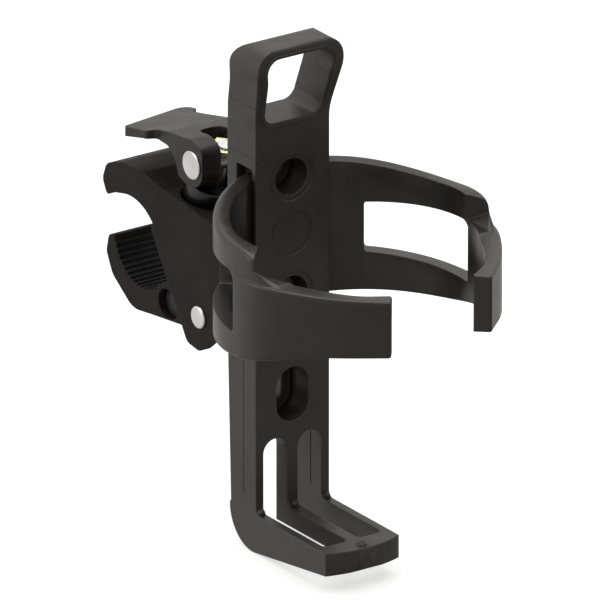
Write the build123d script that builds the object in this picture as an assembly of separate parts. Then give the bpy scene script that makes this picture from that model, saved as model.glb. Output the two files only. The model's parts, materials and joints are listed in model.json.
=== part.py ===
from build123d import *
import math
import os

# Water bottle cage with a quick-release clamp for a handlebar or seat post.
# All sizes in millimetres. The pieces are drawn with the origin at the cage's middle hole, on the
# front face of the spine: X right, Y back, Z up. At export they move so that the origin is the
# centre of the clamped bar.

# --- driving dimensions: clamped bar -----------------------------------------------------------
BAR_Y = 62.8
BAR_Z = -4.0
BAR_R = 12.7

# --- spine -------------------------------------------------------------------------------------
SPINE_HALF = 12.2
SPINE_DEPTH = 13.6
SPINE_BASE = -75.6
SPINE_TOP = 74.8
WEB = 5.4
WALL = 2.4
CHANNEL_HALF = SPINE_HALF - WALL
FOOT_TOP = -62.6
FOOT_REACH = 36.4
FOOT_BULGE = 2.7
FOOT_NOSE = 6.3
HANDLE_HALF = 14.3
HANDLE_LEAN = 4.1
HANDLE_BACK = 9.7
WINDOW_LOW = 51.8
WINDOW_HIGH = 72.0
UPPER_HOLE_Z = 34.6
BLIND_DISC_Z = 18.3
LOWER_HOLE_Z = UPPER_HOLE_Z - 64.0
COUNTERBORE_R = 5.35
COUNTERBORE_FLOOR = 9.5
RING_R = 7.0
RING_DEPTH = 0.45
BOSS_R = 7.5
BOLT_HOLE_R = 2.75
SLOT_X = 5.7
SLOT_HALF = 4.0
SLOT_TOP = -41.3
SLOT_FRONT = -29.4

# --- arms --------------------------------------------------------------------------------------
RING_Y = -30.5
ARM_OUTER = 39.0
ARM_WALL = 4.5
BAND_START = 8.0
BAND_END = 60.0
PAD_START = 97.0
PAD_TIP = (16.6, -71.4)
PAD_TIP_IN = (13.3, -67.1)
PANEL_BACK = -32.0
WINDOW_BACK = -3.4
WINDOW_FRONT = -34.9
WINDOW_PULL = 1.36
RAIL_ROUND = 1.6
RAIL_FRONT = -46.0
PAD_ROUND = 0.7
ROOT_LOW = -3.3
ROOT_HIGH = 37.2
ROOT_IN = 7.9
SIDE_CUT_FRONT = 1.6
SIDE_CUT_BACK = 9.2
FIT = 0.12

# --- back cover --------------------------------------------------------------------------------
COVER_FRONT = 11.8
COVER_LOW = -9.0
COVER_HIGH = 46.0
POST_X = 4.6
POST_ZS = (11.2, 23.4)
POST_R = 2.9

# --- swivel ------------------------------------------------------------------------------------
SWIVEL_R = 2.5
SWIVEL_BORE = 2.56
SWIVEL_HEAD_R = 4.25
BODY_FRONT = 14.5
BODY_WEB_BACK = 20.5

# --- clamp -------------------------------------------------------------------------------------
BODY_HALF = 11.0
PLATE_IN = 8.0
HINGE_Y = 29.2
HINGE_Z = -13.9
HINGE_R = 2.0
JAW_HALF = 7.6
SEAT_R = 14.9
JAW_SEAT_R = 14.4
JAW_LIP_R = 13.3
JAW_TURN0 = 218.0
JAW_TURN1 = 352.0
PAD_HALF = 6.0

# --- quick release -----------------------------------------------------------------------------
PIN_Y = 34.1
PIN_Z = 29.2
PIN_R = 3.0
PIN_FLAT = 2.1
NUT_Y = 49.4
NUT_Z = -17.6
BARREL_R = 4.0
NUT_HALF = 5.6
BOLT_R = 2.0
CAM_CLOSED = 7.2
CAM_RISE = 1.146
CAM_TURN = 100.0
CAM_GAP = 0.08
SEAT_DISC_R = 8.6
POCKET_R = 9.6
LEVER_HALF = 10.0
BLADE_HALF = 9.3
EAR_GAP = 3.7
TIP_HALF = 12.0

BIG = 200.0


def outline(*corners):
    """Closed face from (u, v, corner radius) rows."""
    path = FilletPolyline(
        *[(u, v) for u, v, _ in corners], radius=[r for _, _, r in corners], close=True
    )
    return make_face(path)


def side_plate(face, half, centre=0.0):
    """A face drawn in Y and Z, thickened along X to centre +- half."""
    return Pos(centre, 0, 0) * extrude(Plane.YZ * face, amount=half, both=True)


def front_plate(face, y0, y1):
    """A face drawn in X and Z, thickened from y0 back to y1."""
    return Pos(0, y1, 0) * extrude(Plane.XZ * face, amount=y1 - y0)


def plan_plate(face, z0, z1):
    """A face drawn in X and Y, thickened from z0 up to z1."""
    return Pos(0, 0, z0) * extrude(face, amount=z1 - z0)


def block(x0, x1, y0, y1, z0, z1):
    return Pos((x0 + x1) / 2, (y0 + y1) / 2, (z0 + z1) / 2) * Box(x1 - x0, y1 - y0, z1 - z0)


def rod_y(x, z, radius, y0, y1):
    """A round bar along Y."""
    return Pos(x, (y0 + y1) / 2, z) * Rot(90, 0, 0) * Cylinder(radius, y1 - y0)


def rod_x(y, z, radius, x0, x1):
    """A round bar along X."""
    return Pos((x0 + x1) / 2, y, z) * Rot(0, 90, 0) * Cylinder(radius, x1 - x0)


def mirrored(corners):
    """The corners of the right half, then the same corners on the left."""
    return list(corners) + [(-u, v, r) for u, v, r in reversed(corners)]


# --- spine -------------------------------------------------------------------------------------


def spine_side():
    """Side outline: foot, front face, handle that leans forward, back face, round heel."""
    return outline(
        (-FOOT_REACH, FOOT_TOP, 0.6),
        (0.0, FOOT_TOP, 2.0),
        (0.0, 53.0, 26.0),
        (-HANDLE_LEAN, 67.0, 16.0),
        (-HANDLE_LEAN, SPINE_TOP, 1.2),
        (HANDLE_BACK, SPINE_TOP, 6.5),
        (HANDLE_BACK, 65.0, 16.0),
        (SPINE_DEPTH, 53.0, 26.0),
        (SPINE_DEPTH, -14.0, 0.0),
        (SPINE_DEPTH - 1.5, FOOT_TOP + 0.6, 0.0),
        (SPINE_DEPTH - 0.9, FOOT_TOP, 0.0),
        (SPINE_DEPTH - 0.9, SPINE_BASE, 11.0),
        (-FOOT_REACH, FOOT_TOP - FOOT_NOSE, 0.6),
    )


def spine_front():
    """Front outline: straight blade that flares into the handle."""
    right = (
        (SPINE_HALF, SPINE_BASE - 1, 0.0),
        (SPINE_HALF, 52.0, 26.0),
        (HANDLE_HALF, 67.5, 14.0),
        (HANDLE_HALF - 0.6, SPINE_TOP, 6.0),
    )
    return outline(*mirrored(right))


def foot_plan():
    """Plan outline: the nose of the foot is a shallow arc."""
    shoulder = -FOOT_REACH + FOOT_BULGE
    nose = ThreePointArc((-SPINE_HALF, shoulder), (0, -FOOT_REACH), (SPINE_HALF, shoulder))
    rest = Polyline(
        (SPINE_HALF, shoulder),
        (SPINE_HALF + 5, shoulder),
        (SPINE_HALF + 5, 30),
        (-SPINE_HALF - 5, 30),
        (-SPINE_HALF - 5, shoulder),
        (-SPINE_HALF, shoulder),
    )
    return make_face(nose + rest)


def handle_window():
    right = (
        (9.3, WINDOW_LOW, 3.6),
        (10.2, 64.0, 10.0),
        (11.5, WINDOW_HIGH, 4.0),
    )
    return outline(*mirrored(right))


def spine():
    body = side_plate(spine_side(), SPINE_HALF + 5)
    body = body & front_plate(spine_front(), -BIG, BIG) & plan_plate(foot_plan(), -BIG, BIG)
    body -= front_plate(handle_window(), -20, 30)
    body -= spine_channel()
    for side in (-1, 1):
        body -= long_slot(side)
        body -= arm_pocket(side)
    body -= hole_cuts()
    return body


def spine_channel():
    """Hollow back of the blade, round the bosses and the screw posts."""
    channel = block(-CHANNEL_HALF, CHANNEL_HALF, WEB, 30, SLOT_TOP - 1, COVER_HIGH)
    for z in (UPPER_HOLE_Z, 0.0):
        channel -= rod_y(0, z, BOSS_R, 0, 40)
    channel -= front_plate(obround(LOWER_HOLE_Z, 16.0 + 4.0, BOSS_R), 0, 40)
    for z in POST_ZS:
        for x in (-POST_X, POST_X):
            channel -= rod_y(x, z, POST_R, 0, COVER_FRONT)
    # the rim under the cover keeps the channel from running on below it
    channel -= block(-CHANNEL_HALF, CHANNEL_HALF, 0, 40, COVER_LOW - 2.0, COVER_LOW)
    # the middle rib between the slots is only as deep as the web
    rib = block(-SLOT_X, SLOT_X, WEB, 30, SPINE_BASE - 5, SLOT_TOP)
    rib += block(-SLOT_X, SLOT_X, SLOT_FRONT, 30, SPINE_BASE - 5, FOOT_TOP - WEB)
    return channel + rib


def obround(z, length, radius):
    half = length / 2
    return outline(
        (radius, z - half, radius * 0.999),
        (radius, z + half, radius * 0.999),
        (-radius, z + half, radius * 0.999),
        (-radius, z - half, radius * 0.999),
    )


def long_slot(side):
    """One slot: down the blade, round the bend and along the foot."""
    x = side * SLOT_X
    tall = block(
        x - SLOT_HALF, x + SLOT_HALF, -1, 30, SPINE_BASE - 5, SLOT_TOP - SLOT_HALF
    )
    tall += rod_y(x, SLOT_TOP - SLOT_HALF, SLOT_HALF, -1, 30)
    low = block(x - SLOT_HALF, x + SLOT_HALF, SLOT_FRONT, 1, SPINE_BASE - 5, FOOT_TOP + 1)
    ends = low.edges().filter_by(Axis.Z).group_by(Axis.Y)[0]
    return tall + fillet(ends, 1.6)


def arm_pocket(side):
    """Room for one arm's root: the side cut-out and the space behind the thin front skin."""
    out = SPINE_HALF + 5
    x0, x1 = sorted((side * (CHANNEL_HALF - 0.5), side * out))
    cut = block(x0, x1, SIDE_CUT_FRONT, SIDE_CUT_BACK, ROOT_LOW - 0.6, ROOT_HIGH + 1.6)
    x0, x1 = sorted((side * (ROOT_IN - FIT), side * CHANNEL_HALF))
    return cut + block(x0, x1, SIDE_CUT_FRONT, WEB + 1, ROOT_LOW - 0.6, ROOT_HIGH + 1.6)


def hole_cuts():
    cuts = rod_y(0, BLIND_DISC_Z, 6.6, -1, RING_DEPTH)
    for z, through in ((UPPER_HOLE_Z, BOLT_HOLE_R), (0.0, SWIVEL_BORE)):
        cuts += rod_y(0, z, RING_R, -1, RING_DEPTH)
        cuts += rod_y(0, z, COUNTERBORE_R, -1, COUNTERBORE_FLOOR)
        cuts += rod_y(0, z, through, 0, 30)
    cuts += front_plate(obround(LOWER_HOLE_Z, 16.0, COUNTERBORE_R), -1, COUNTERBORE_FLOOR)
    cuts += front_plate(obround(LOWER_HOLE_Z, 11.0, BOLT_HOLE_R), 0, 30)
    # pilot holes of the cover's screws
    for z in POST_ZS:
        for x in (-POST_X, POST_X):
            cuts += rod_y(x, z, 1.1, WEB, COVER_FRONT + 1)
    return cuts


# --- arms --------------------------------------------------------------------------------------


def ring_point(radius, turn):
    """A point of the bottle ring, turn in degrees from straight back towards +X."""
    a = math.radians(turn)
    return radius * math.sin(a), RING_Y + radius * math.cos(a)


def ring_arc(radius, turn0, turn1):
    middle = (turn0 + turn1) / 2
    return ThreePointArc(ring_point(radius, turn0), ring_point(radius, middle), ring_point(radius, turn1))


def pad_inside():
    """Inner edge of the pad in plan, from the tip back to the ring."""
    return Spline(
        PAD_TIP_IN,
        (19.3, -63.0),
        (24.7, -56.7),
        (30.1, -46.8),
        ring_point(ARM_OUTER - ARM_WALL, PAD_START),
        tangents=[(0.80, 0.60), (0.12, 0.99)],
    )


def arm_plan():
    """Plan of the right arm: a piece of ring that runs out straighter to the tip."""
    inner = ARM_OUTER - ARM_WALL
    outside = Spline(
        ring_point(ARM_OUTER, BAND_END),
        (39.4, -31.0),
        (39.0, -38.5),
        (34.1, -49.6),
        (26.0, -60.8),
        PAD_TIP,
        tangents=[(0.50, -0.87), (-0.72, -0.70)],
    )
    path = Line(ring_point(inner, BAND_START), ring_point(ARM_OUTER, BAND_START))
    path += ring_arc(ARM_OUTER, BAND_START, BAND_END) + outside + Line(PAD_TIP, PAD_TIP_IN)
    path += pad_inside() + ring_arc(inner, PAD_START, BAND_START)
    return make_face(path)


def panel_plan():
    """Plan of the pad with its outer skin, which stands proud of the arm."""
    outside = Spline(
        (40.2, PANEL_BACK),
        (39.8, -38.5),
        (34.9, -49.8),
        (26.7, -61.4),
        PAD_TIP,
        tangents=[(0.0, -1.0), (-0.72, -0.70)],
    )
    inside = pad_inside()
    start = ring_point(ARM_OUTER - ARM_WALL, PAD_START)
    back = Polyline(start, (36.6, PANEL_BACK), (40.2, PANEL_BACK))
    return make_face(outside + Line(PAD_TIP, PAD_TIP_IN) + inside + back)


def arm_low():
    """Lower edge of an arm seen from the side, from the tip back to the root."""
    return Spline(
        (-76, 9.2), (-64, 7.9), (-52.6, 6.2), (-44, 3.8), (-37, 2.0), (-27, -0.2), (-11, -1.8), (12, -3.3)
    )


def arm_heights():
    """Side outline of an arm: tall at the root, with the step down to the pad."""
    top = Spline(
        (12, 37.2),
        (0, 35.6),
        (-8, 34.1),
        (-25, 32.8),
        (-34, 32.6),
        (-37.4, 31.4),
        (-38.9, 28.6),
    )
    pad = Spline((-38.9, 28.6), (-42, 26.2), (-46, 24.8), (-52, 24.3), (-64, 24.3), (-76, 24.3))
    ends = Line((-76, 24.3), (-76, 9.2)) + Line((12, -3.3), (12, 37.2))
    return make_face(top + pad + ends + arm_low())


def rail_end():
    """What is cut away in front of the rail, whose end runs slantwise down onto the pad."""
    above = outline((20, 25.3, 0), (34.9, 25.3, 0), (39.6, 28.6, 0), (45, 28.6, 0), (45, 45, 0), (20, 45, 0))
    ahead = outline(
        (20, -28, 0), (30, -28, 0), (34.2, -32.9, 0), (39.6, -38.9, 0), (45, -38.9, 0), (45, -80, 0), (20, -80, 0)
    )
    return front_plate(above, -80, -20) & plan_plate(ahead, 0, 60)


def panel_heights():
    """Side outline of the pad's outer skin."""
    top = Spline((12, 25.4), (-31, 25.2), (-52, 24.8), (-76, 25.2))
    return make_face(top + Line((-76, 25.2), (-76, 9.2)) + arm_low() + Line((12, -3.3), (12, 25.4)))


def arm_window():
    """The arm's window, drawn on the plane X = 0 and pulled outwards on a slant."""
    inner = ARM_OUTER - ARM_WALL
    back_x = math.sqrt(inner**2 - (WINDOW_BACK - RING_Y) ** 2)
    back = WINDOW_BACK - WINDOW_PULL * back_x
    front = WINDOW_FRONT - WINDOW_PULL * inner
    face = outline((back, 9.0, 1.2), (back, 23.6, 1.2), (front, 25.2, 3.2), (front, 7.2, 1.6))
    return extrude(Plane.YZ * face, amount=100, dir=(1, WINDOW_PULL, 0))


def outer_edges(arm, low, high):
    """The arm's edges on its outer side whose middles lie between two heights."""
    found = []
    for edge in arm.edges():
        middle = edge.center()
        outside = math.hypot(middle.X, middle.Y - RING_Y) > ARM_OUTER - ARM_WALL / 2
        outside = outside or (middle.Y < -45 and middle.X > 29)
        if outside and edge.length > ARM_WALL - 0.5 and low < middle.Z < high:
            found.append(edge)
    return found


def rail():
    """The ring part of the arm, crowned along its outer edges, with its window cut out."""
    arm = plan_plate(arm_plan(), ROOT_LOW - 5, ROOT_HIGH + 5) & side_plate(arm_heights(), BIG)
    arm = fillet(outer_edges(arm, 20, 40), RAIL_ROUND)
    arm = fillet(outer_edges(arm, -10, 12), RAIL_ROUND)
    return arm - arm_window() - block(-BIG, BIG, -BIG, RAIL_FRONT, -BIG, BIG) - rail_end()


def pad():
    """The pad at the arm's free end, with its outer skin and a rounded tip."""
    body = plan_plate(panel_plan(), ROOT_LOW - 5, ROOT_HIGH + 5) & side_plate(panel_heights(), BIG)
    long_edges = [e for e in body.edges() if e.length > 40 and e.center().X > 29]
    body = fillet(long_edges, PAD_ROUND)
    tip = [e for e in body.edges() if e.center().Y < -66 and e.length > 2]
    return fillet(tip, PAD_ROUND)


def right_arm():
    arm = rail() + pad() - block(-BIG, CHANNEL_HALF - FIT, -BIG, 30, -BIG, BIG)
    hook = block(
        ROOT_IN, CHANNEL_HALF - FIT, SIDE_CUT_FRONT + FIT, COVER_FRONT - 0.05, ROOT_LOW, ROOT_HIGH
    )
    return arm + hook


# --- back cover and its screws -----------------------------------------------------------------


def back_cover():
    plate = block(
        -CHANNEL_HALF + FIT, CHANNEL_HALF - FIT, COVER_FRONT, SPINE_DEPTH, COVER_LOW + FIT, COVER_HIGH - FIT
    )
    for z in (UPPER_HOLE_Z, 0.0):
        plate -= rod_y(0, z, BOSS_R + FIT, 0, 30)
    for z in POST_ZS:
        for x in (-POST_X, POST_X):
            plate -= rod_y(x, z, 1.35, 0, 30)
            plate -= rod_y(x, z, 2.45, SPINE_DEPTH - 1.2, 30)
    return plate


def cover_screws():
    screws = []
    for z in POST_ZS:
        for x in (-POST_X, POST_X):
            shank = rod_y(x, z, 1.1, WEB + 1, SPINE_DEPTH - 1.2)
            head = rod_y(x, z, 2.3, SPINE_DEPTH - 1.2, SPINE_DEPTH - 0.15)
            cross = block(x - 1.3, x + 1.3, SPINE_DEPTH - 0.7, 30, z - 0.3, z + 0.3)
            cross += block(x - 0.3, x + 0.3, SPINE_DEPTH - 0.7, 30, z - 1.3, z + 1.3)
            screws.append(shank + head - cross)
    return Compound(screws)


# --- swivel ------------------------------------------------------------------------------------


def hexagon(across):
    return RegularPolygon(across / 2, 6, major_radius=False)


def swivel_bolt():
    head_back = COUNTERBORE_FLOOR - 1.0
    head = rod_y(0, 0, SWIVEL_HEAD_R, head_back - 3.6, head_back)
    head = fillet(head.edges().group_by(Axis.Y)[0], 0.7)
    socket = front_plate(hexagon(4.0), head_back - 5, head_back - 1.4)
    shank = rod_y(0, 0, SWIVEL_R, head_back, 26.0)
    return head - socket + shank


def bolt_washer():
    ring = rod_y(0, 0, 5.0, COUNTERBORE_FLOOR - 1.0, COUNTERBORE_FLOOR - 0.02)
    return ring - rod_y(0, 0, SWIVEL_BORE + 0.1, 0, 30)


def swivel_washer():
    ring = rod_y(0, 0, 10.4, SPINE_DEPTH + 0.06, BODY_FRONT)
    return ring - rod_y(0, 0, SWIVEL_R + 0.15, 0, 30)


def swivel_nut():
    nut = front_plate(hexagon(8.0), BODY_WEB_BACK, BODY_WEB_BACK + 4.7)
    return nut - rod_y(0, 0, SWIVEL_R, 0, 40)


# --- clamp -------------------------------------------------------------------------------------


def about_bar(radius, turn):
    """A point round the bar, turn in degrees from straight back, upwards."""
    a = math.radians(turn)
    return BAR_Y + radius * math.cos(a), BAR_Z + radius * math.sin(a)


def body_side():
    """Side outline of the clamp body: nose flange, saddle over the bar, leg down to the hinge."""
    upper = FilletPolyline(
        about_bar(SEAT_R, 76),
        (71.6, 9.2),
        (74.4, 7.4),
        (76.7, 11.8),
        (74.6, 17.0),
        (67.0, 19.6),
        (56.5, 19.9),
        (47.0, 18.0),
        (35.5, 17.0),
        (22.4, 15.0),
        (BODY_FRONT, 9.0),
        (BODY_FRONT, -9.0),
        (20.6, -17.0),
        (29.0, -24.2),
        (35.3, -23.3),
        (53.0, 4.7),
        about_bar(SEAT_R, 137),
        radius=[4.0, 1.2, 3.0, 4.0, 6.0, 8.0, 20.0, 30.0, 8.0, 3.0, 4.0, 4.0, 3.4, 3.4, 2.0],
    )
    saddle = ThreePointArc(about_bar(SEAT_R, 137), about_bar(SEAT_R, 106), about_bar(SEAT_R, 76))
    return make_face(upper + saddle)


def bolt_frame(y, z):
    """Location whose Z runs up along the tension bolt."""
    tilt = math.degrees(math.atan2(NUT_Y - PIN_Y, PIN_Z - NUT_Z))
    return Pos(0, y, z) * Rot(tilt, 0, 0)


def body_hollow():
    return outline(
        (BODY_WEB_BACK, -40.0, 0.0),
        (BODY_WEB_BACK, 10.2, 2.0),
        (34.0, 12.6, 0.0),
        (46.0, 14.0, 3.0),
        (49.0, 5.0, 3.0),
        (49.0, -40.0, 0.0),
    )


def seat_pocket():
    """Round pocket in the body's top, in which the cam seat stands."""
    return Pos(0, 37.6, 15.5) * Rot(7, 0, 0) * Pos(0, 0, 10) * Cylinder(POCKET_R, 20)


def clamp_body():
    body = side_plate(body_side(), BODY_HALF)
    body -= side_plate(body_hollow(), PLATE_IN)
    # the bolt's slot through the top plate, long enough for the bolt to swing
    slot = bolt_frame(PIN_Y, PIN_Z) * Pos(0, 0, -16) * Box(6.4, 7.5, 16)
    body -= slot
    body -= seat_pocket()
    # pocket of the upper rubber pad
    body -= pad_ring(SEAT_R - 1, SEAT_R + 1.2, 78, 134, PAD_HALF)
    body -= rod_x(HINGE_Y, HINGE_Z, HINGE_R, -BIG, BIG)
    body -= rod_y(0, 0, SWIVEL_R + 0.05, 0, 30)
    return body


def pad_ring(inner, outer, turn0, turn1, half):
    """A band round the bar between two angles."""
    mid = (turn0 + turn1) / 2
    edge = ThreePointArc(about_bar(outer, turn0), about_bar(outer, mid), about_bar(outer, turn1))
    back = ThreePointArc(about_bar(inner, turn1), about_bar(inner, mid), about_bar(inner, turn0))
    ends = Line(about_bar(outer, turn1), about_bar(inner, turn1))
    ends2 = Line(about_bar(inner, turn0), about_bar(outer, turn0))
    return side_plate(make_face(edge + ends + back + ends2), half)


def body_pad():
    return pad_ring(BAR_R + 0.02, SEAT_R + 1.2, 78.2, 133.8, PAD_HALF - 0.1)


def jaw_side():
    """Side outline of the lower jaw: eye round the hinge pin, trough round the bar, nose."""
    lip = ThreePointArc(
        about_bar(JAW_LIP_R, JAW_TURN1),
        about_bar(JAW_LIP_R, (JAW_TURN0 + JAW_TURN1) / 2),
        about_bar(JAW_LIP_R, JAW_TURN0),
    )
    rest = FilletPolyline(
        about_bar(JAW_LIP_R, JAW_TURN0),
        (48.6, -10.4),
        (38.0, -12.4),
        (31.0, -9.6),
        (25.2, -10.6),
        (25.0, -17.6),
        (30.6, -19.6),
        (43.0, -21.6),
        (56.5, -23.2),
        (67.0, -24.6),
        (77.0, -17.6),
        (79.9, -11.6),
        (78.4, -5.2),
        about_bar(JAW_LIP_R, JAW_TURN1),
        radius=[1.5, 6.0, 3.8, 3.8, 3.8, 3.0, 0.0, 8.0, 8.0, 6.0, 2.6, 2.4],
    )
    return make_face(lip + rest)


def clamp_jaw():
    jaw = side_plate(jaw_side(), JAW_HALF)
    jaw -= pad_ring(BAR_R - 2, JAW_SEAT_R, 223, 345, PAD_HALF)
    jaw -= rod_x(HINGE_Y, HINGE_Z, HINGE_R + 0.06, -BIG, BIG)
    # slotted seat of the barrel nut and the way in for the bolt
    for shift in (-0.6, 0.6):
        jaw -= rod_x(NUT_Y + shift, NUT_Z, BARREL_R + 0.25, -BIG, BIG)
    jaw -= block(-BIG, BIG, NUT_Y - 0.6, NUT_Y + 0.6, NUT_Z - BARREL_R - 0.25, NUT_Z + BARREL_R + 0.25)
    jaw -= bolt_frame(NUT_Y, NUT_Z) * Box(2 * BOLT_R + 1.2, 2 * BOLT_R + 3.0, 60)
    return jaw


def jaw_pad():
    pad = pad_ring(BAR_R + 0.02, JAW_SEAT_R, 223.2, 344.8, PAD_HALF - 0.1)
    pad += pad_ring(BAR_R + 0.02, JAW_LIP_R - 0.05, 223.2, 344.8, JAW_HALF)
    groove = 0.55
    grooves = 15
    for i in range(grooves):
        y, z = about_bar(BAR_R, 230 + i * 108 / (grooves - 1))
        pad -= rod_x(y, z, groove, -BIG, BIG)
    return pad


def hinge_pin():
    pin = rod_x(HINGE_Y, HINGE_Z, HINGE_R, -BODY_HALF - 0.2, BODY_HALF + 0.2)
    for side in (-1, 1):
        x = side * BODY_HALF
        x0, x1 = sorted((x, x + side * 0.8))
        head = rod_x(HINGE_Y, HINGE_Z, 3.25, x0, x1)
        rim = head.edges().group_by(Axis.X)[-1 if side > 0 else 0]
        pin += fillet(rim, 0.5)
    return pin


# --- quick release -----------------------------------------------------------------------------


def cam_reach(turn):
    """Distance from the cam pin to the seat when the lever has opened by turn degrees."""
    return CAM_CLOSED - CAM_RISE * math.radians(turn)


def cam_point(turn):
    """Contact point of the cam, in the bolt frame: Y back, Z up along the bolt."""
    a = math.radians(turn)
    h = cam_reach(turn) - CAM_GAP
    return -h * math.sin(a) + CAM_RISE * math.cos(a), -h * math.cos(a) - CAM_RISE * math.sin(a)


def in_bolt_frame(back, up):
    """World Y and Z of a point given square to the bolt and along it, from the cam pin."""
    tilt = math.atan2(NUT_Y - PIN_Y, PIN_Z - NUT_Z)
    return (
        PIN_Y + back * math.cos(tilt) - up * math.sin(tilt),
        PIN_Z + back * math.sin(tilt) + up * math.cos(tilt),
    )


def lever_side():
    """Side outline of the closed lever: cam round the pin, then the curved blade."""
    cam = Spline(*[in_bolt_frame(*cam_point(turn)) for turn in (CAM_TURN, 75, 50, 25, 0)])
    flat_end = in_bolt_frame(4.6, CAM_GAP - CAM_CLOSED)
    blade = FilletPolyline(
        in_bolt_frame(*cam_point(0)),
        flat_end,
        (42.0, 27.6),
        (45.8, 30.9),
        (54.0, 31.0),
        (70.8, 26.8),
        (71.6, 29.8),
        (56.0, 32.9),
        (46.0, 35.1),
        (PIN_Y + 0.5, PIN_Z + 7.3),
        (PIN_Y - 4.9, PIN_Z + 5.8),
        in_bolt_frame(*cam_point(CAM_TURN)),
        radius=[1.0, 3.0, 4.0, 10.0, 1.2, 1.2, 12.0, 20.0, 8.0, 3.4],
    )
    return make_face(cam + blade)


def lever_plan():
    """Plan outline: even blade, then a wide tip whose end runs askew, longer on the right."""
    return outline(
        (LEVER_HALF, 20.0, 0.0),
        (LEVER_HALF, 42.0, 8.0),
        (BLADE_HALF, 62.4, 1.2),
        (TIP_HALF, 64.0, 1.6),
        (TIP_HALF, 70.4, 2.8),
        (-TIP_HALF, 64.8, 1.8),
        (-TIP_HALF, 53.6, 1.2),
        (-BLADE_HALF, 52.2, 1.2),
        (-LEVER_HALF, 42.0, 6.0),
        (-LEVER_HALF, 20.0, 0.0),
    )


def lever():
    body = side_plate(lever_side(), TIP_HALF + 2)
    body = body & plan_plate(lever_plan(), 0, 60)
    slot = plan_plate(
        outline(
            (-EAR_GAP, 10, 0.0), (EAR_GAP, 10, 0.0), (EAR_GAP, 41.0, 2.6), (-EAR_GAP, 41.0, 2.6)
        ),
        0,
        60,
    )
    body -= slot
    body -= rod_x(PIN_Y, PIN_Z, PIN_R + 0.06, -BIG, BIG)
    return body


def cam_pin():
    pin = rod_x(PIN_Y, PIN_Z, PIN_R, -LEVER_HALF, LEVER_HALF)
    for side in (-1, 1):
        x0, x1 = sorted((side * (LEVER_HALF + 0.05), side * (LEVER_HALF + 0.5)))
        head = rod_x(PIN_Y, PIN_Z, 4.1, x0, x1)
        rim = head.edges().group_by(Axis.X)[-1 if side > 0 else 0]
        pin += fillet(rim, 0.3) + rod_x(PIN_Y, PIN_Z, PIN_R, *sorted((0, x1)))
    flat = bolt_frame(PIN_Y, PIN_Z) * Pos(0, 0, PIN_FLAT + 4) * Box(2 * EAR_GAP - 0.1, 12, 8)
    bore = bolt_frame(PIN_Y, PIN_Z) * Cylinder(BOLT_R, 40)
    return pin - flat - bore


def bolt_length():
    return math.hypot(NUT_Y - PIN_Y, PIN_Z - NUT_Z)


def tension_bolt():
    above = 4.7
    below = bolt_length() + 6.0
    return bolt_frame(PIN_Y, PIN_Z) * Pos(0, 0, (above - below) / 2) * Cylinder(BOLT_R, above + below)


def tension_nut():
    nut = extrude(Rot(0, 0, 30) * hexagon(6.9), amount=2.1) - Cylinder(BOLT_R, 20)
    return bolt_frame(PIN_Y, PIN_Z) * Pos(0, 0, PIN_FLAT) * nut


def barrel_nut():
    nut = rod_x(NUT_Y, NUT_Z, BARREL_R, -NUT_HALF, NUT_HALF)
    return nut - bolt_frame(NUT_Y, NUT_Z) * Cylinder(BOLT_R, 40)


def cam_seat():
    """Round seat with a flat top square to the bolt and a skirt that stands in the pocket."""
    disc = bolt_frame(PIN_Y, PIN_Z) * Pos(0, 0, -CAM_CLOSED - 5) * Cylinder(SEAT_DISC_R, 10)
    disc -= side_plate(body_side(), 40) - seat_pocket()
    disc -= bolt_frame(PIN_Y, PIN_Z) * Box(6.4, 7.5, 60)
    return disc


NODES = {
    "spine": spine,
    "right_arm": right_arm,
    "left_arm": lambda: mirror(right_arm(), about=Plane.YZ),
    "back_cover": back_cover,
    "cover_screws": cover_screws,
    "swivel_bolt": swivel_bolt,
    "bolt_washer": bolt_washer,
    "swivel_washer": swivel_washer,
    "swivel_nut": swivel_nut,
    "clamp_body": clamp_body,
    "body_pad": body_pad,
    "clamp_jaw": clamp_jaw,
    "jaw_pad": jaw_pad,
    "hinge_pin": hinge_pin,
    "cam_seat": cam_seat,
    "lever": lever,
    "cam_pin": cam_pin,
    "tension_bolt": tension_bolt,
    "tension_nut": tension_nut,
    "barrel_nut": barrel_nut,
}

os.makedirs("parts", exist_ok=True)
for name, make in NODES.items():
    export_step(Pos(0, -BAR_Y, -BAR_Z) * make(), f"parts/{name}.step")
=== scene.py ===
"""Looks of the water bottle cage: materials, small moulded details, floor, light and camera.

The scene is in metres, in the frame of the CAD model: origin in the middle of the clamped bar,
X to the right, Y back, Z up. The marks on the spine are given in millimetres from its middle hole.
"""

import json
import math

import bmesh
import bpy
from mathutils import Matrix, Vector


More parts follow.
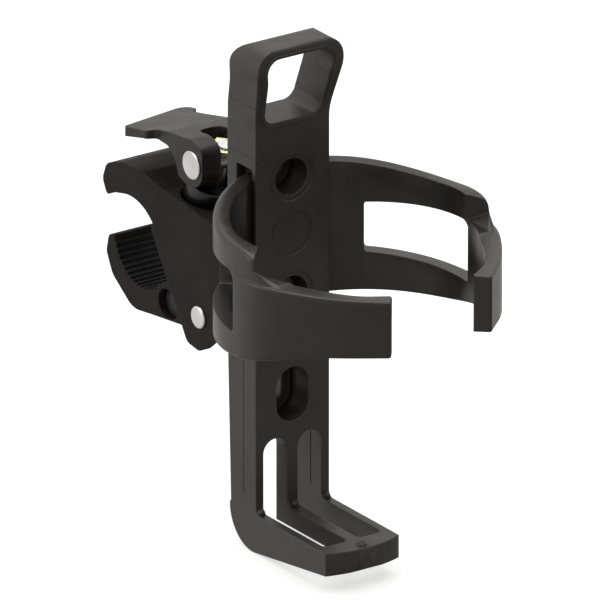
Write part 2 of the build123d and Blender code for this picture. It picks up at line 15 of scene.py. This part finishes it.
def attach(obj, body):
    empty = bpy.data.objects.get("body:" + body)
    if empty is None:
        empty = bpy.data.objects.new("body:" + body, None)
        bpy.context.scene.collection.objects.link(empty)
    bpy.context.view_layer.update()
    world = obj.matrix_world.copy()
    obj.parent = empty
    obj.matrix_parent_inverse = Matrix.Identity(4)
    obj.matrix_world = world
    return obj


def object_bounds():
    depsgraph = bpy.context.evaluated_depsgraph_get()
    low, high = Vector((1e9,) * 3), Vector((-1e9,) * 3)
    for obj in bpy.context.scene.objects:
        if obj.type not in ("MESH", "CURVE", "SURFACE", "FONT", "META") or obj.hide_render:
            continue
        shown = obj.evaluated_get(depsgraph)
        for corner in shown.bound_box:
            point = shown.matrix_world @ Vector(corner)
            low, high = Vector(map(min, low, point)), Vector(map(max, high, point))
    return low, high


MM = 0.001
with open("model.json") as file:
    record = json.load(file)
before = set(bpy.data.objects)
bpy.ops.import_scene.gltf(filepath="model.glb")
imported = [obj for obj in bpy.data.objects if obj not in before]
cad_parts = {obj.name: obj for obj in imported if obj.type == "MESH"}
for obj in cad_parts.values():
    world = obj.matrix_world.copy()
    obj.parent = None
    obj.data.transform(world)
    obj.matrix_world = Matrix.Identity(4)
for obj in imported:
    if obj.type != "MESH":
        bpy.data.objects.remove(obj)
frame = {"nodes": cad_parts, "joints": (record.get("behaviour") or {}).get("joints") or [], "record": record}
cad_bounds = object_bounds()
nodes = frame["nodes"]

# The cage turns about the middle hole of the spine, and the marks are measured from there.
swivel = next(j for j in frame["joints"] if j["name"] == "cage_swivel")
HOLE = Vector(swivel["pos_m"])


def at(x, y, z):
    """A point given in millimetres from the middle hole: right, back and up."""
    return HOLE + Vector((x, y, z)) * MM


# --- materials ---------------------------------------------------------------------------------

NOISE_ROUGHNESS = 0.55

# Samples of the shader that rounds edges.
BEVEL_SAMPLES = 6

# Cosine of a rounded normal's lean where an edge begins to show, and where it shows in full.
EDGE_BEGINS = 0.985
EDGE_FULL = 0.86

# Moulded plastic: its clouds, specks, and edges painted paler (partly rubbed wear, partly a painted
# highlight), as factors of its colour.
CLOUD_DARK = 0.86
CLOUD_PALE = 1.14
SPECK_PALE = 1.7
RUBBED_AND_HIGHLIGHT_PALE = 2.3

# Edge roundings of the materials, in metres.
MOULDED_EDGE = 0.55 * MM
# The paler edges of moulded plastic, over this radius, are partly rubbed wear and partly a painted
# highlight.
RUBBED_AND_HIGHLIGHT_EDGE = 0.7 * MM
RUBBER_EDGE = 0.15 * MM
STEEL_EDGE = 0.2 * MM
WORN_STEEL_EDGE = 0.3 * MM

# The other finishes: patches, dust and scratches, as factors of their colours.
DUST_PALE = 2.4
PLATING_DULL = 0.82
SCRATCH_DARK = 0.55
BLACKING_PALE = 2.0

WORN_STEEL = (0.22, 0.21, 0.2)


class Nodes:
    """A material's node tree, with short calls for the nodes that the materials share."""

    def __init__(self, name):
        self.material = bpy.data.materials.new(name)
        self.material.use_nodes = True
        self.tree = self.material.node_tree
        self.shader = self.tree.nodes["Principled BSDF"]
        place = self.tree.nodes.new("ShaderNodeTexCoord")
        self.place = place.outputs["Object"]

    def link(self, source, target):
        self.tree.links.new(source, target)

    def stretched(self, x, y, z):
        """The place on the object, with each axis scaled, for a texture that runs one way."""
        node = self.tree.nodes.new("ShaderNodeMapping")
        node.inputs["Scale"].default_value = (x, y, z)
        self.link(self.place, node.inputs["Vector"])
        return node.outputs["Vector"]

    def noise(self, scale, detail=3.0, vector=None):
        """Soft noise from 0 to 1, whose scale is its cycles in a metre."""
        node = self.tree.nodes.new("ShaderNodeTexNoise")
        node.inputs["Scale"].default_value = scale
        node.inputs["Detail"].default_value = detail
        node.inputs["Roughness"].default_value = NOISE_ROUGHNESS
        self.link(vector or self.place, node.inputs["Vector"])
        return node.outputs["Fac"]

    def ramp(self, value, low, high, out_low=0.0, out_high=1.0):
        """A value from low to high, drawn out to run from out_low to out_high."""
        node = self.tree.nodes.new("ShaderNodeMapRange")
        node.inputs["From Min"].default_value = low
        node.inputs["From Max"].default_value = high
        node.inputs["To Min"].default_value = out_low
        node.inputs["To Max"].default_value = out_high
        self.link(value, node.inputs["Value"])
        return node.outputs["Result"]

    def multiply(self, a, b):
        node = self.tree.nodes.new("ShaderNodeMath")
        node.operation = "MULTIPLY"
        self.link(a, node.inputs[0])
        self.link(b, node.inputs[1])
        return node.outputs["Value"]

    def mix(self, factor, colour_a, colour_b):
        """A mix of two colours, each either a plain colour or another node's output."""
        node = self.tree.nodes.new("ShaderNodeMix")
        node.data_type = "RGBA"
        self.link(factor, node.inputs["Factor"])
        socket_a = node.inputs[6]
        socket_b = node.inputs[7]
        for socket, colour in ((socket_a, colour_a), (socket_b, colour_b)):
            if isinstance(colour, bpy.types.NodeSocket):
                self.link(colour, socket)
            else:
                socket.default_value = (*colour, 1.0)
        return node.outputs[2]

    def rounded_normal(self, radius):
        """The surface normal with sharp edges rounded over a radius in metres."""
        bevel = self.tree.nodes.new("ShaderNodeBevel")
        bevel.samples = BEVEL_SAMPLES
        bevel.inputs["Radius"].default_value = radius
        return bevel.outputs["Normal"]

    def edges(self, radius):
        """1 on edges, 0 on flats: how far a rounded normal leans away from the true one."""
        rounded_one = self.rounded_normal(radius)
        true_one = self.tree.nodes.new("ShaderNodeNewGeometry")
        dot = self.tree.nodes.new("ShaderNodeVectorMath")
        dot.operation = "DOT_PRODUCT"
        self.link(rounded_one, dot.inputs[0])
        self.link(true_one.outputs["Normal"], dot.inputs[1])
        return self.ramp(dot.outputs["Value"], EDGE_BEGINS, EDGE_FULL)

    def bump(self, layers, edge):
        """Bump from (height, strength, depth in metres) layers, over edges rounded by edge."""
        normal = self.rounded_normal(edge)
        for height, strength, depth in layers:
            node = self.tree.nodes.new("ShaderNodeBump")
            node.inputs["Strength"].default_value = strength
            node.inputs["Distance"].default_value = depth
            self.link(height, node.inputs["Height"])
            self.link(normal, node.inputs["Normal"])
            normal = node.outputs["Normal"]
        self.link(normal, self.shader.inputs["Normal"])

    def finish(self, colour, roughness, metallic=0.0, specular=0.5):
        """The finished material, from its colour and roughness nodes and its two constants."""
        self.link(colour, self.shader.inputs["Base Color"])
        self.link(roughness, self.shader.inputs["Roughness"])
        self.shader.inputs["Metallic"].default_value = metallic
        self.shader.inputs["Specular IOR Level"].default_value = specular
        return self.material


def times(colour, factor):
    """A colour made darker or paler."""
    return tuple(min(1.0, c * factor) for c in colour)


def moulded_plastic(name, colour, roughness, grain=0.5, specular=0.5):
    """Satin nylon: faint flow clouds, fine spark-eroded grain, edges painted a little paler, partly as
    rubbed wear and partly as a painted highlight.
    """
    n = Nodes(name)
    clouds = n.ramp(n.noise(scale=45.0, detail=4.0), low=0.35, high=0.68)
    specks = n.ramp(n.noise(scale=900.0, detail=2.0), low=0.55, high=0.8, out_high=0.35)
    body = n.mix(clouds, times(colour, CLOUD_DARK), times(colour, CLOUD_PALE))
    body = n.mix(specks, body, times(colour, SPECK_PALE))
    # Edges mixed paler in patches: partly rubbed wear, partly a painted edge highlight.
    wear_and_highlight = n.ramp(n.noise(scale=260.0), low=0.3, high=0.7, out_low=0.25)
    body = n.mix(n.multiply(n.edges(RUBBED_AND_HIGHLIGHT_EDGE), wear_and_highlight), body, times(colour, RUBBED_AND_HIGHLIGHT_PALE))
    shine = n.ramp(
        n.noise(scale=120.0, detail=5.0),
        low=0.3,
        high=0.75,
        out_low=roughness - 0.06,
        out_high=roughness + 0.07,
    )
    fine_grain = (n.noise(scale=2600.0, detail=2.0), grain, 0.02 * MM)
    slow_waves = (n.noise(scale=110.0, detail=2.0), 0.12, 0.12 * MM)
    n.bump([fine_grain, slow_waves], MOULDED_EDGE)
    return n.finish(body, shine, specular=specular)


def rubber(name, colour):
    """Dull black rubber with dust worked into it."""
    n = Nodes(name)
    dust = n.ramp(n.noise(scale=240.0, detail=5.0), low=0.4, high=0.75)
    body = n.mix(dust, colour, times(colour, DUST_PALE))
    shine = n.ramp(n.noise(scale=90.0), low=0.3, high=0.7, out_low=0.62, out_high=0.8)
    grain = (n.noise(scale=1800.0, detail=4.0), 0.6, 0.04 * MM)
    n.bump([grain], RUBBER_EDGE)
    return n.finish(body, shine, specular=0.35)


def plated_steel(name, colour, roughness, tint=None):
    """Bright or zinc-plated steel: brushed in one direction, with patches and fine scratches."""
    n = Nodes(name)
    brushed = n.noise(scale=700.0, detail=4.0, vector=n.stretched(1.0, 0.12, 1.0))
    scratches = n.noise(scale=520.0, detail=2.0, vector=n.stretched(1.0, 6.0, 0.5))
    patches = n.noise(scale=160.0, detail=4.0)
    body = n.mix(n.ramp(patches, low=0.35, high=0.7), times(colour, PLATING_DULL), colour)
    body = n.mix(n.ramp(scratches, low=0.62, high=0.7), body, tint or times(colour, SCRATCH_DARK))
    shine = n.ramp(
        brushed, low=0.3, high=0.7, out_low=roughness - 0.08, out_high=roughness + 0.12
    )
    n.bump([(brushed, 0.25, 0.03 * MM), (scratches, 0.3, 0.05 * MM)], STEEL_EDGE)
    return n.finish(body, shine, metallic=1.0)


def black_steel(name, colour):
    """Blackened steel: paler in patches, and worn bright along its edges."""
    n = Nodes(name)
    patches = n.ramp(n.noise(scale=300.0, detail=4.0), low=0.4, high=0.7)
    body = n.mix(patches, colour, times(colour, BLACKING_PALE))
    body = n.mix(n.edges(WORN_STEEL_EDGE), body, WORN_STEEL)
    shine = n.ramp(n.noise(scale=150.0), low=0.3, high=0.7, out_low=0.3, out_high=0.45)
    n.bump([(n.noise(scale=1500.0), 0.4, 0.02 * MM)], STEEL_EDGE)
    return n.finish(body, shine, metallic=0.6)


BLADE = "blade_moulding"
FINISHES = {
    BLADE: moulded_plastic(BLADE, (0.0275, 0.0220, 0.0178), roughness=0.46),
    "arm_moulding": moulded_plastic(
        "arm_moulding", (0.0180, 0.0142, 0.0114), roughness=0.34, grain=0.35
    ),
    "clamp_moulding": moulded_plastic(
        "clamp_moulding", (0.0110, 0.0090, 0.0062), roughness=0.66, specular=0.2
    ),
    "lever_moulding": moulded_plastic(
        "lever_moulding", (0.0150, 0.0125, 0.0105), roughness=0.46, specular=0.4
    ),
    "grip_rubber": rubber("grip_rubber", (0.0030, 0.0029, 0.0029)),
    "washer_nylon": moulded_plastic(
        "washer_nylon", (0.0040, 0.0038, 0.0040), roughness=0.30, grain=0.2
    ),
    "bright_steel": plated_steel("bright_steel", (0.86, 0.85, 0.82), roughness=0.26),
    "zinc_steel": plated_steel("zinc_steel", (0.70, 0.71, 0.72), roughness=0.34),
    "yellow_zinc": plated_steel(
        "yellow_zinc", (0.84, 0.80, 0.52), roughness=0.30, tint=(0.62, 0.66, 0.36)
    ),
    "black_steel": black_steel("black_steel", (0.028, 0.028, 0.032)),
}

# How far the sharp edges of the CAD nodes are rounded, in millimetres. A node that isn't listed
# has SMALL_ROUNDING.
EDGE_ROUNDING = {
    "spine": 0.5,
    "left_arm": 1.5,
    "right_arm": 1.5,
    "clamp_body": 0.5,
    "clamp_jaw": 0.6,
    "lever": 0.6,
    "cam_seat": 0.3,
}
SMALL_ROUNDING = 0.12
ROUNDING_STEPS = 4
SHARP_FROM = math.radians(38)
WELD_GAP = 0.002 * MM


def dress_cad_nodes():
    """Each CAD node takes its slot's finish, and its sharp edges are rounded a little."""
    for part in frame["record"]["subparts"]:
        obj = nodes[part["node"]]
        for slot in obj.material_slots:
            slot.material = FINISHES[part["material_slot"]]
        weld = obj.modifiers.new("weld", "WELD")
        weld.merge_threshold = WELD_GAP
        bevel = obj.modifiers.new("round edges", "BEVEL")
        bevel.width = EDGE_ROUNDING.get(part["node"], SMALL_ROUNDING) * MM
        bevel.segments = ROUNDING_STEPS
        bevel.limit_method = "ANGLE"
        bevel.angle_limit = SHARP_FROM
        bevel.harden_normals = True
        bevel.use_clamp_overlap = True


dress_cad_nodes()

# --- small moulded details ---------------------------------------------------------------------

# Where rays start in front of the spine and beside it, in millimetres.
RAY_FRONT = -20
RAY_SIDE = 30

# Points along a straight line that is laid on the spine.
LINE_STEPS = 40

# Segments in a quarter of a bead's section, less one, and the beads' radii in millimetres.
BEAD_RESOLUTION = 2
LIP_BEAD = 0.26
EJECTOR_BEAD = 0.16
RING_BEAD = 0.12
WITNESS_BEAD = 0.07
PARTING_BEAD = 0.09
SLOT_BEAD = 0.13

# Corners of the right half of the handle's window: x, z and corner radius.
HALF_WINDOW = [(10.3, 50.9, 4.6), (11.2, 64.0, 10.0), (12.5, 72.8, 4.8)]

# Circles on the front face: x, z and radius, then the ejector mark's arc in degrees.
EJECTOR_CIRCLE = (0.9, 48.8, 2.2)
EJECTOR_ARC = (-70, 130)
BLIND_HOLE_CIRCLE = (0.0, 18.3, 6.75)
BOLT_HOLE_HEIGHTS = (34.6, 0.0)
BOLT_HOLE_RING = 7.15

# Lines on the side faces: the witness lines run back, the parting line runs down.
WITNESS_HEIGHTS = (57.6, 42.0)
WITNESS_START = -1.6
WITNESS_LENGTH = 15.0
PARTING_DEPTH = 6.0
PARTING_TOP = -15.0
PARTING_LENGTH = 43.0

# The seam inside each long slot, found by rays from inside the slot.
SLOT_INSIDE = 6.0
SLOT_DEPTH = 5.4
SLOT_SEAM_TOP = -43.0
SLOT_SEAM_LENGTH = 17.0

# Turned marks: (radius, height) profile, then where they stand.
FLASH_NUB = [(0.42, -0.2), (0.4, 0.1), (0.25, 0.3), (0, 0.36)]
FLASH_NUB_PLACE = at(-12.1, 0.0, 42.0)
FLASH_NUB_AXIS = (-0.6, -0.8, 0)
GATE_STUB = [
    (1.75, -0.3),
    (1.7, 0.05),
    (1.45, 0.45),
    (1.2, 0.62),
    (0.95, 0.6),
    (0.75, 0.3),
    (0, 0.22),
]
GATE_STUB_PLACE = at(0.0, -33.4, -62.6)
BEND_WEB = [(1.15, -0.5), (1.05, 0.1), (0.75, 0.55), (0.4, 0.75), (0, 0.82)]
BEND_WEB_XS = (-10.9, -0.2, 10.9)
BEND_WEB_DEPTH = -0.9
BEND_WEB_HEIGHT = -61.7
BEND_WEB_AXIS = (0, -0.7, 0.7)


def met(name, points, direction):
    """Where rays from some points first meet a CAD node; a ray that misses is left out."""
    found = []
    for point in points:
        hit, place, _, _ = nodes[name].ray_cast(point, Vector(direction))
        if hit:
            found.append(place)
    return found


def add_piece(name, data, body, slot):
    """An object that rides on a body and takes the finish of a material slot."""
    data.materials.append(FINISHES[slot])
    piece = bpy.data.objects.new(name, data)
    bpy.context.scene.collection.objects.link(piece)
    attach(piece, body)


def bead(name, points, radius, body, slot, closed=False):
    """A thin round bead along some points, half sunk into the surface that it lies on."""
    curve = bpy.data.curves.new(name, "CURVE")
    curve.dimensions = "3D"
    curve.bevel_depth = radius * MM
    curve.bevel_resolution = BEAD_RESOLUTION
    spline = curve.splines.new("POLY")
    spline.points.add(len(points) - 1)
    for target, point in zip(spline.points, points):
        target.co = (*point, 1.0)
    spline.use_cyclic_u = closed
    add_piece(name, curve, body, slot)


def rounded(corners, steps=8):
    """A closed outline of (x, z, radius) corners with each corner rounded."""
    path = []
    for i, (x, z, radius) in enumerate(corners):
        here = Vector((x, z))
        before = (Vector(corners[i - 1][:2]) - here).normalized()
        after = (Vector(corners[(i + 1) % len(corners)][:2]) - here).normalized()
        half = before.angle(after) / 2
        reach = radius / math.tan(half)
        centre = here + (before + after).normalized() * radius / math.sin(half)
        start = (here + before * reach - centre).normalized()
        end = (here + after * reach - centre).normalized()
        for k in range(steps + 1):
            path.append(centre + start.slerp(end, k / steps) * radius)
    return path


def circle(x, z, radius, turn0=0.0, turn1=360.0, steps=40):
    """Points on a circle about (x, z), from one turn in degrees to another."""
    path = []
    for k in range(steps + 1):
        a = math.radians(turn0 + (turn1 - turn0) * k / steps)
        path.append(Vector((x + radius * math.cos(a), z + radius * math.sin(a))))
    return path


def spread(start, length):
    """Evenly spaced values from a start over a length, which is negative for a line down."""
    return [start + length * k / LINE_STEPS for k in range(LINE_STEPS + 1)]


def front_path(outline):
    """An (x, z) outline laid on the spine's front face."""
    return met("spine", [at(x, RAY_FRONT, z) for x, z in outline], (0, 1, 0))


def side_path(side, points):
    """Points (y, z) laid on one side face of the spine."""
    return met("spine", [at(side * RAY_SIDE, y, z) for y, z in points], (-side, 0, 0))


def lathed(name, profile, place, axis, body, slot, turns=32):
    """A small turned piece: (radius, height) profile in millimetres about an axis."""
    bm = bmesh.new()
    rings = []
    for radius, height in profile:
        ring = []
        for k in range(turns if radius else 1):
            a = math.tau * k / turns
            x = radius * MM * math.cos(a)
            y = radius * MM * math.sin(a)
            ring.append(bm.verts.new((x, y, height * MM)))
        rings.append(ring)
    for low, high in zip(rings, rings[1:]):
        for k in range(turns):
            corners = [low[k % len(low)], low[(k + 1) % len(low)]]
            corners += [high[(k + 1) % len(high)], high[k % len(high)]]
            bm.faces.new(list(dict.fromkeys(corners)))
    bmesh.ops.recalc_face_normals(bm, faces=bm.faces)
    for face in bm.faces:
        face.smooth = True
    mesh = bpy.data.meshes.new(name)
    bm.to_mesh(mesh)
    bm.free()
    turn = Vector(axis).to_track_quat("Z", "Y").to_matrix().to_4x4()
    mesh.transform(Matrix.Translation(place) @ turn)
    add_piece(name, mesh, body, slot)


def front_marks():
    """The lip of the handle's window, the ejector's mark and the rings round the holes."""
    window = HALF_WINDOW + [(-x, z, r) for x, z, r in reversed(HALF_WINDOW)]
    lip = front_path(rounded(window))
    bead("handle_lip", lip, LIP_BEAD, "cage", BLADE, closed=True)
    mark = front_path(circle(*EJECTOR_CIRCLE, *EJECTOR_ARC))
    bead("ejector_mark", mark, EJECTOR_BEAD, "cage", BLADE)
    ring = front_path(circle(*BLIND_HOLE_CIRCLE))
    bead("blind_ring", ring, RING_BEAD, "cage", BLADE, closed=True)
    for i, z in enumerate(BOLT_HOLE_HEIGHTS):
        ring = front_path(circle(0.0, z, BOLT_HOLE_RING))
        bead(f"hole_ring_{i}", ring, RING_BEAD, "cage", BLADE, closed=True)


def side_marks(side, word):
    """One side's witness lines and parting line, and the seam in the long slot beside it."""
    for i, z in enumerate(WITNESS_HEIGHTS):
        line = side_path(side, [(y, z) for y in spread(WITNESS_START, WITNESS_LENGTH)])
        bead(f"witness_line_{word}_{i}", line, WITNESS_BEAD, "cage", BLADE)
    seam = side_path(side, [(PARTING_DEPTH, z) for z in spread(PARTING_TOP, -PARTING_LENGTH)])
    bead(f"parting_line_{word}", seam, PARTING_BEAD, "cage", BLADE)
    heights = spread(SLOT_SEAM_TOP, -SLOT_SEAM_LENGTH)
    inside = [at(side * SLOT_INSIDE, SLOT_DEPTH, z) for z in heights]
    wall = met("spine", inside, (side, 0, 0))
    bead(f"slot_seam_{word}", wall, SLOT_BEAD, "cage", BLADE)


def turned_marks():
    """The nub of flash below the handle, the gate's stub on the foot, the webs at its bend."""
    lathed("flash_nub", FLASH_NUB, FLASH_NUB_PLACE, FLASH_NUB_AXIS, "cage", BLADE, turns=12)
    lathed("gate_stub", GATE_STUB, GATE_STUB_PLACE, (0, 0, 1), "cage", BLADE)
    for i, x in enumerate(BEND_WEB_XS):
        place = at(x, BEND_WEB_DEPTH, BEND_WEB_HEIGHT)
        lathed(f"bend_web_{i}", BEND_WEB, place, BEND_WEB_AXIS, "cage", BLADE, turns=16)


front_marks()
side_marks(-1, "left")
side_marks(1, "right")
turned_marks()

# --- floor, light and camera -------------------------------------------------------------------

VIEW_TURN = math.radians(-34.5)
VIEW_DROP = math.radians(22.0)
VIEW_FAR = 6.0
VIEW_TARGET = Vector((0.0025, -0.0628, 0.0018))
PICTURE_WIDTH = 0.16438
SENSOR = 36.0
CLIP_END = 100.0

# Half the floor's side, the gap under the object, and the floor's own glow and tones.
FLOOR_HALF = 12.0
FLOOR_GAP = 0.0002
FLOOR_GLOW = 0.62
FLOOR_DARK = (0.50, 0.50, 0.50)
FLOOR_PALE = (0.53, 0.53, 0.525)

# The lamps: place, size in metres and power in watts.
LAMPS = {
    "overhead": ((0.1, 0.1, 1.3), (1.4, 1.4), 13.0),
    "left_window": ((-1.2, 0.5, 0.5), (0.5, 1.2), 3.0),
}
LAMP_TARGET = Vector((0.0, -0.04, 0.0))

# The room's brightness along an axis: from and to on the axis, then the brightness at each.
ROOM_DEPTH = ("Y", -0.3, 0.8, 0.50, 0.90)
ROOM_HEIGHT = ("Z", -0.9, 0.1, 0.55, 1.0)
ROOM_SIDE = ("X", -1.0, -0.1, 0.15, 0.0)
ROOM_COLOUR = (1.0, 0.995, 0.985, 1.0)


def add_camera():
    """A far camera with a long lens, so that the picture is almost a parallel projection."""
    look = Vector(
        (
            -math.sin(VIEW_TURN) * math.cos(VIEW_DROP),
            math.cos(VIEW_TURN) * math.cos(VIEW_DROP),
            -math.sin(VIEW_DROP),
        )
    )
    data = bpy.data.cameras.new("camera")
    data.sensor_width = SENSOR
    data.lens = SENSOR * VIEW_FAR / PICTURE_WIDTH
    data.clip_end = CLIP_END
    camera = bpy.data.objects.new("camera", data)
    camera.location = VIEW_TARGET - look * VIEW_FAR
    camera.rotation_euler = look.to_track_quat("-Z", "Y").to_euler()
    bpy.context.scene.collection.objects.link(camera)
    bpy.context.scene.camera = camera


def add_floor():
    """A wide pale floor that glows a little, and doesn't light the object."""
    mesh = bpy.data.meshes.new("floor")
    low = cad_bounds[0][2] - FLOOR_GAP
    signs = ((-1, -1), (1, -1), (1, 1), (-1, 1))
    corners = [(sx * FLOOR_HALF, sy * FLOOR_HALF, low) for sx, sy in signs]
    mesh.from_pydata(corners, [], [(0, 1, 2, 3)])
    floor = bpy.data.objects.new("floor", mesh)
    n = Nodes("floor_paper")
    tone = n.mix(n.noise(scale=3.0), FLOOR_DARK, FLOOR_PALE)
    shine = n.ramp(n.noise(scale=40.0), low=0.3, high=0.7, out_low=0.8, out_high=0.95)
    n.finish(tone, shine, specular=0.0)
    n.shader.inputs["Emission Color"].default_value = (1.0, 1.0, 1.0, 1.0)
    n.shader.inputs["Emission Strength"].default_value = FLOOR_GLOW
    mesh.materials.append(n.material)
    bpy.context.scene.collection.objects.link(floor)
    floor.visible_glossy = False
    floor.visible_diffuse = False


def add_lamp(name, place, size, power):
    """A soft rectangular lamp that points at the middle of the object."""
    data = bpy.data.lights.new(name, "AREA")
    data.shape = "RECTANGLE"
    data.size, data.size_y = size
    data.energy = power
    lamp = bpy.data.objects.new(name, data)
    lamp.location = place
    aim = LAMP_TARGET - Vector(place)
    lamp.rotation_euler = aim.to_track_quat("-Z", "Y").to_euler()
    bpy.context.scene.collection.objects.link(lamp)


def add_world():
    """A pale studio room: bright behind and overhead, dim in front of the object and below."""
    world = bpy.data.worlds.new("studio")
    bpy.context.scene.world = world
    world.use_nodes = True
    tree = world.node_tree
    place = tree.nodes.new("ShaderNodeTexCoord")
    split = tree.nodes.new("ShaderNodeSeparateXYZ")
    tree.links.new(place.outputs["Generated"], split.inputs["Vector"])

    def ramp(axis, low, high, out_low, out_high):
        node = tree.nodes.new("ShaderNodeMapRange")
        node.interpolation_type = "SMOOTHSTEP"
        node.inputs["From Min"].default_value = low
        node.inputs["From Max"].default_value = high
        node.inputs["To Min"].default_value = out_low
        node.inputs["To Max"].default_value = out_high
        tree.links.new(split.outputs[axis], node.inputs["Value"])
        return node.outputs["Result"]

    def joined(operation, a, b):
        node = tree.nodes.new("ShaderNodeMath")
        node.operation = operation
        tree.links.new(a, node.inputs[0])
        tree.links.new(b, node.inputs[1])
        return node.outputs["Value"]

    depth_and_height = joined("MULTIPLY", ramp(*ROOM_DEPTH), ramp(*ROOM_HEIGHT))
    glow = joined("ADD", depth_and_height, ramp(*ROOM_SIDE))
    background = tree.nodes["Background"]
    background.inputs["Color"].default_value = ROOM_COLOUR
    tree.links.new(glow, background.inputs["Strength"])


add_camera()
add_floor()
add_world()
for lamp_name, (lamp_place, lamp_size, lamp_power) in LAMPS.items():
    add_lamp(lamp_name, lamp_place, lamp_size, lamp_power)
bpy.context.scene.view_settings.view_transform = "Standard"
